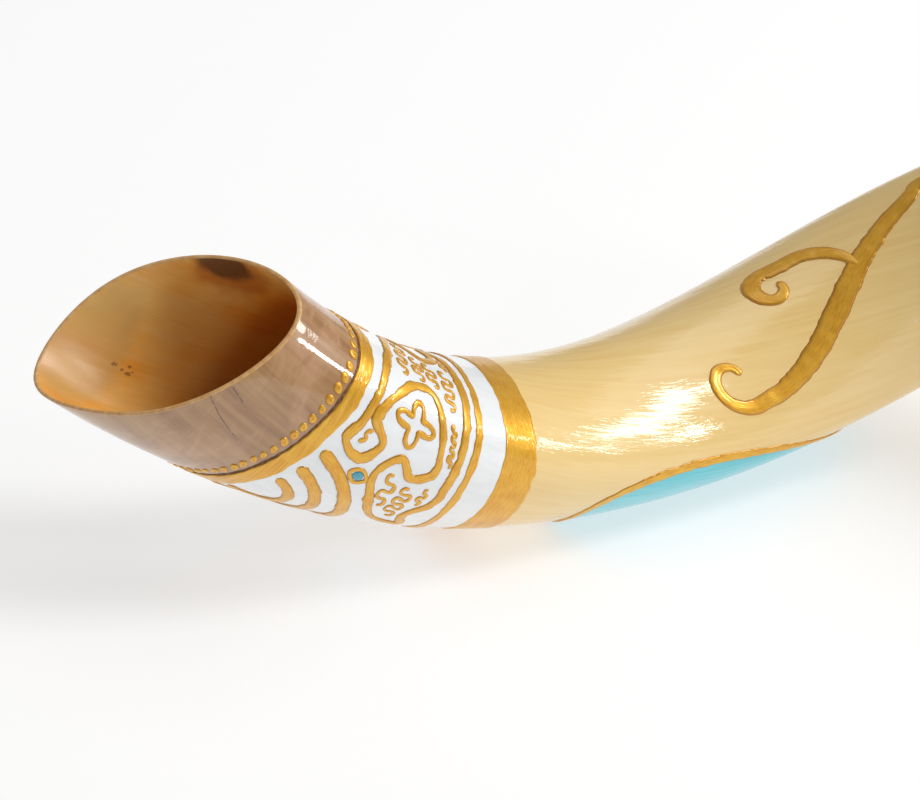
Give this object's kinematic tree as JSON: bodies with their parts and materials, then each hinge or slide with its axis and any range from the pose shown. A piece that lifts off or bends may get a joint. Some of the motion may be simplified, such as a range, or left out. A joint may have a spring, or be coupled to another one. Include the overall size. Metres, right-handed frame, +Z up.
{
  "type": "shofar",
  "caption": "Long spiral antelope-horn shofar with a flared oblique bell, cream and white ground, gold scrolls, beads and banded ornament, a turquoise panel and a carved mouthpiece.",
  "frame": {"origin": "middle of the bottom of the whole object's box, on the surface that it lies on", "axes": "+Z up with the horn lying at rest; the bell towards -X and the mouthpiece towards +X, along the coil's length; +Y to the side away from the bell's opening"},
  "size_m": [0.8576, 0.179, 0.1489],
  "materials": {
    "horn": "polished and lacquered natural horn",
    "cream_paint": "brushed cream paint under clear gloss lacquer",
    "white_paint": "white paint under clear gloss lacquer",
    "gold_paint": "raised metallic gold paint, brushed, under clear gloss lacquer",
    "turquoise_paint": "turquoise enamel paint, gloss",
    "dark_line": "thin dark brown line under clear gloss lacquer"
  },
  "bodies": {
    "root": {"horn": "horn", "cream_coat": "cream_paint", "white_band": "white_paint", "front_gold_band": "gold_paint", "front_band_outline": "dark_line", "rear_gold_band": "gold_paint", "tip_gold_band": "gold_paint", "ring_line": "gold_paint", "gold_beads": "gold_paint", "gold_arches": "gold_paint", "gold_frames": "gold_paint", "gold_stars": "gold_paint", "curled_lines": "gold_paint", "gold_diamonds": "gold_paint", "turquoise_jewels": "turquoise_paint", "turquoise_panel": "turquoise_paint", "panel_border": "gold_paint", "gold_scrolls": "gold_paint"}
  },
  "joints": []
}
